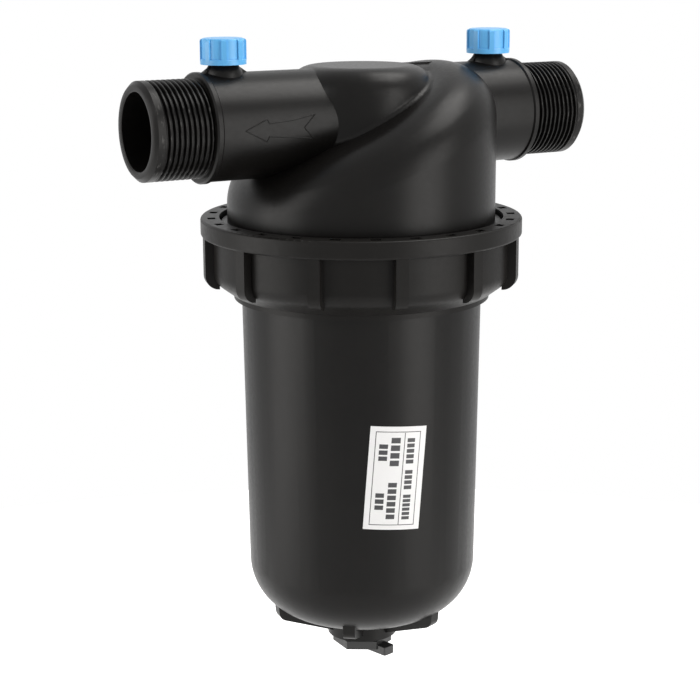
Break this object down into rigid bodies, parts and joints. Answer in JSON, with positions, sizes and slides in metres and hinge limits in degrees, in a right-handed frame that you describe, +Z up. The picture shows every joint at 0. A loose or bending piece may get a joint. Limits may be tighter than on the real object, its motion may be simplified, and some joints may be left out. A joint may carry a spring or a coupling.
{
  "type": "in-line disc filter",
  "caption": "In-line plastic disc filter for drip irrigation: black head with threaded pipe ends, clamp ring, hanging bowl with drain plug and blue test point caps.",
  "frame": {"origin": "on the bowl axis, at the underside of the drain plug", "axes": "+Z up along the bowl axis, +X along the pipes towards the inlet, -X towards the outlet"},
  "size_m": [0.212, 0.1426, 0.2836],
  "materials": {
    "black_housing": "satin moulded",
    "black_ring": "fine grain moulded",
    "black_plug": "moulded",
    "blue_cap": "smooth moulded",
    "seal_rubber": "smooth",
    "label_paper": "printed film",
    "core_plastic": "moulded",
    "disc_plastic": "grooved"
  },
  "bodies": {
    "head": {"filter_head": "black_housing", "cartridge_spine": "core_plastic", "neck_seal": "seal_rubber", "swirl_ring": "core_plastic", "filter_discs": "disc_plastic"},
    "bowl": {"filter_bowl": "black_housing", "housing_seal": "seal_rubber", "rating_label": "label_paper"},
    "ring": {"clamp_ring": "black_ring"},
    "drain_washer": {"drain_seal": "seal_rubber"},
    "drain_stopper": {"drain_plug": "black_plug"},
    "inlet_washer": {"inlet_cap_seal": "seal_rubber"},
    "inlet_cap": {"inlet_test_cap": "blue_cap"},
    "outlet_washer": {"outlet_cap_seal": "seal_rubber"},
    "outlet_cap": {"outlet_test_cap": "blue_cap"},
    "end_stop": {"end_plate": "core_plastic", "end_plate_seal": "seal_rubber", "thrust_washer": "core_plastic"},
    "wing_nut": {"cartridge_nut": "black_plug"}
  },
  "joints": [
    {"name": "bowl_drop", "type": "slide", "parent": "head", "child": "bowl", "axis": [0, 0, -1], "range_m": [0, 0.17]},
    {"name": "ring_turn", "type": "hinge", "parent": "bowl", "child": "ring", "pos_m": [0, 0, 0], "axis": [0, 0, -1], "continuous": true},
    {"name": "drain_out", "type": "slide", "parent": "bowl", "child": "drain_washer", "axis": [0, 0, -1], "range_m": [0, 0.01451]},
    {"name": "drain_turn", "type": "hinge", "parent": "drain_washer", "child": "drain_stopper", "pos_m": [0, 0, 0], "axis": [0, 0, -1], "range_deg": [0, 2881]},
    {"name": "inlet_cap_lift", "type": "slide", "parent": "head", "child": "inlet_washer", "axis": [0, 0, 1], "range_m": [0, 0.00802]},
    {"name": "inlet_cap_turn", "type": "hinge", "parent": "inlet_washer", "child": "inlet_cap", "pos_m": [0.0657, 0, 0], "axis": [0, 0, 1], "range_deg": [0, 2161]},
    {"name": "outlet_cap_lift", "type": "slide", "parent": "head", "child": "outlet_washer", "axis": [0, 0, 1], "range_m": [0, 0.00802]},
    {"name": "outlet_cap_turn", "type": "hinge", "parent": "outlet_washer", "child": "outlet_cap", "pos_m": [-0.0657, 0, 0], "axis": [0, 0, 1], "range_deg": [0, 2161]},
    {"name": "end_plate_slide", "type": "slide", "parent": "head", "child": "end_stop", "axis": [0, 0, -1], "range_m": [0, 0.01925]},
    {"name": "wing_nut_turn", "type": "hinge", "parent": "end_stop", "child": "wing_nut", "pos_m": [0, 0, 0], "axis": [0, 0, -1], "range_deg": [0, 3961]}
  ],
  "couplings": [
    {"joint": "drain_turn", "follows": "drain_out", "rad_per_m": 3463.7},
    {"joint": "inlet_cap_turn", "follows": "inlet_cap_lift", "rad_per_m": 4699.5},
    {"joint": "outlet_cap_turn", "follows": "outlet_cap_lift", "rad_per_m": 4699.5},
    {"joint": "wing_nut_turn", "follows": "end_plate_slide", "rad_per_m": 3590.4}
  ]
}
